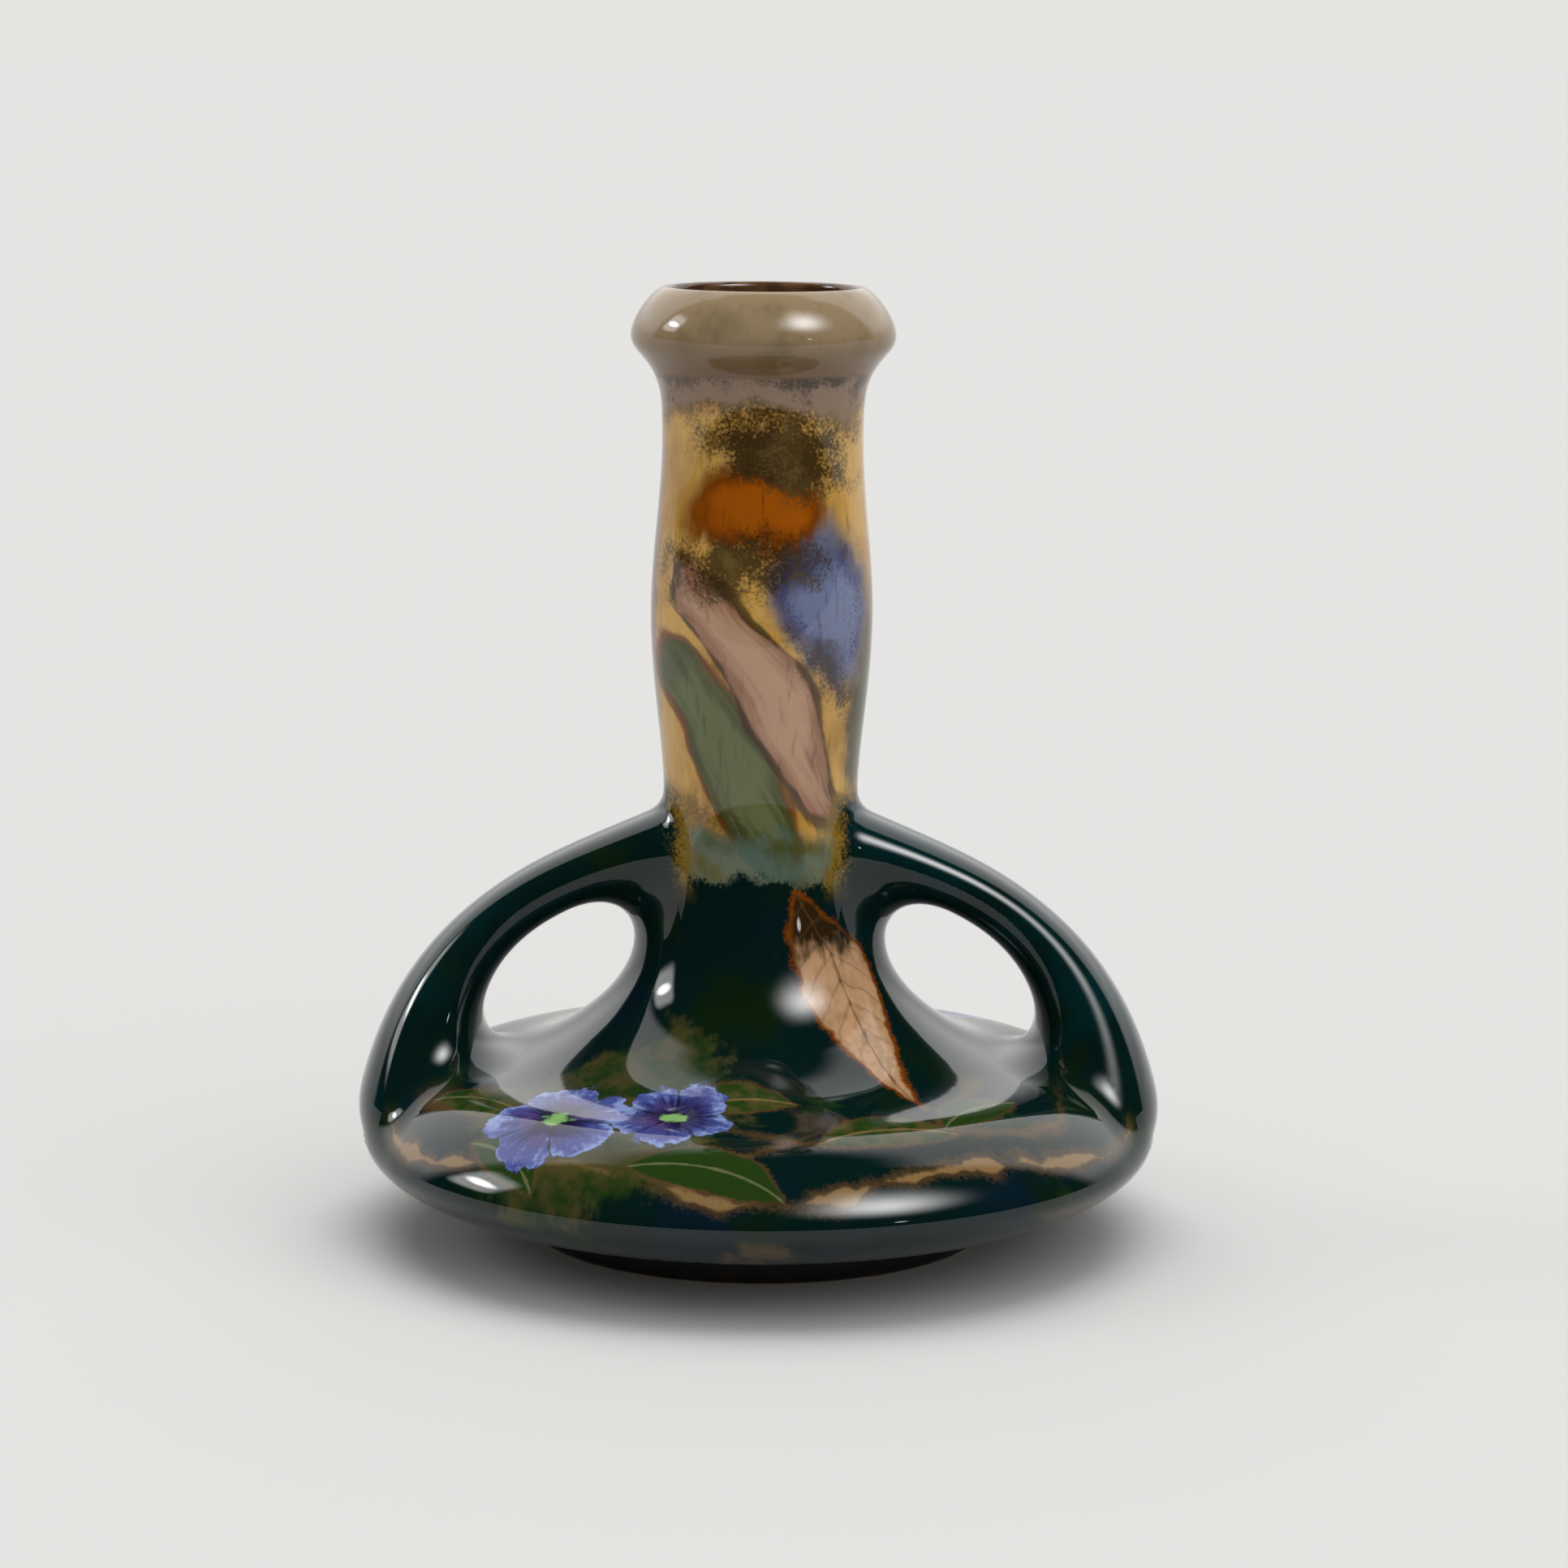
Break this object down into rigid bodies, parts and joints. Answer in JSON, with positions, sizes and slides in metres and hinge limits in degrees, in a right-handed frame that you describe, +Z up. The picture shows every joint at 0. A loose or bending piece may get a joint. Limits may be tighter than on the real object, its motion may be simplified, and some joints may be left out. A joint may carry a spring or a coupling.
{
  "type": "two-handled vase",
  "caption": "Glazed pottery vase with a wide flat body, a long slightly swelling neck, a rolled rim and loop handles from the body's edge up to the neck; holds flowers or stands as an ornament.",
  "frame": {"origin": "centre of the foot ring's resting face", "axes": "+Z up along the axis of the neck, X through the middle of the handles, the front faces -Y"},
  "size_m": [0.1698, 0.1674, 0.2],
  "materials": {
    "body_glaze": "glossy dark green-black glaze with painted blossoms and leaves",
    "handle_glaze": "glossy green-black glaze",
    "neck_glaze": "glossy ochre glaze, mottled with brown, orange, violet and green",
    "rim_glaze": "glossy olive-taupe glaze",
    "foot_glaze": "glossy black glaze, bare clay where it rests",
    "slip": "fired slip in the joints, under the glaze"
  },
  "bodies": {
    "root": {"foot_ring": "foot_glaze", "foot_slip": "slip", "base_bowl": "body_glaze", "belly_slip": "slip", "shoulder": "body_glaze", "neck_slip": "slip", "neck": "neck_glaze", "rim_slip": "slip", "rim_collar": "rim_glaze", "left_handle": "handle_glaze", "left_handle_slip": "slip", "right_handle": "handle_glaze", "right_handle_slip": "slip"}
  },
  "joints": []
}
